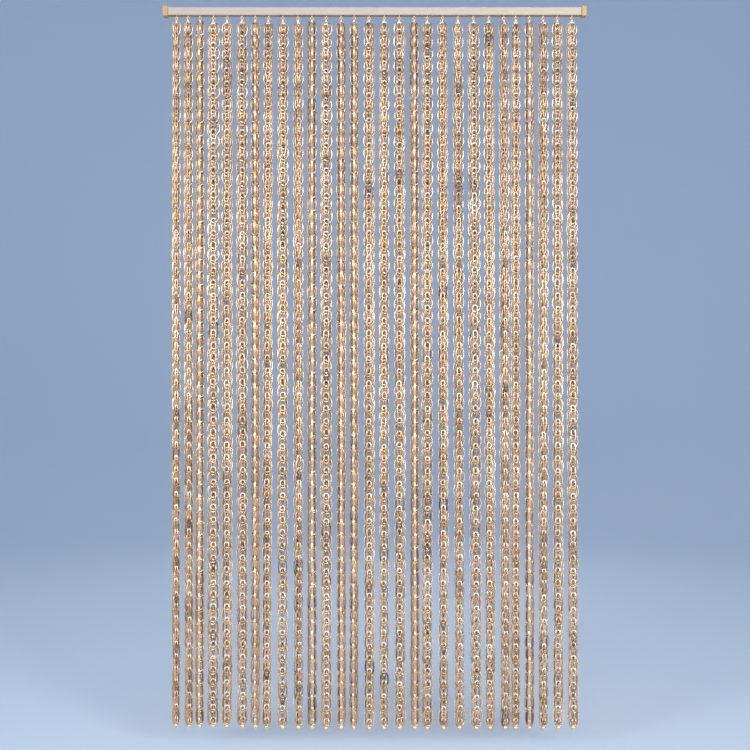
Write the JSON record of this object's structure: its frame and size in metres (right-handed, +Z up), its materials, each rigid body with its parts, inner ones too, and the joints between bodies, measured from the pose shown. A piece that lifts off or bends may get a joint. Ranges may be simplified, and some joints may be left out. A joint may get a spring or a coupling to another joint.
{
  "type": "bead curtain of metal chains with its hanging rail",
  "caption": "Door curtain of gold-toned metal chains, each hooked under a slotted wall rail and ending in a small ball, with a cap on each end of the rail.",
  "frame": {"origin": "middle of the rail's flat back, where it meets the wall", "axes": "+Z up along the hanging chains, +Y out of the rail's back into the wall, -Y towards the viewer, +X to the viewer's right along the rail"},
  "size_m": [1.2, 0.025, 2.0525],
  "materials": {
    "rail_metal": "champagne anodised, fine lengthwise brushing",
    "cap_gold": "satin gold",
    "chain_metal": "polished rose-gold anodised wire",
    "ball_gold": "polished gold anodised"
  },
  "bodies": {
    "root": {"rail": "rail_metal", "end_cap_left": "cap_gold", "end_cap_right": "cap_gold", "chain_strands": "chain_metal", "end_ball_01": "ball_gold", "end_ball_02": "ball_gold", "end_ball_03": "ball_gold", "end_ball_04": "ball_gold", "end_ball_05": "ball_gold", "end_ball_06": "ball_gold", "end_ball_07": "ball_gold", "end_ball_08": "ball_gold", "end_ball_09": "ball_gold", "end_ball_10": "ball_gold", "end_ball_11": "ball_gold", "end_ball_12": "ball_gold", "end_ball_13": "ball_gold", "end_ball_14": "ball_gold", "end_ball_15": "ball_gold", "end_ball_16": "ball_gold", "end_ball_17": "ball_gold", "end_ball_18": "ball_gold", "end_ball_19": "ball_gold", "end_ball_20": "ball_gold", "end_ball_21": "ball_gold", "end_ball_22": "ball_gold", "end_ball_23": "ball_gold", "end_ball_24": "ball_gold", "end_ball_25": "ball_gold", "end_ball_26": "ball_gold", "end_ball_27": "ball_gold", "end_ball_28": "ball_gold", "end_ball_29": "ball_gold"}
  },
  "joints": []
}
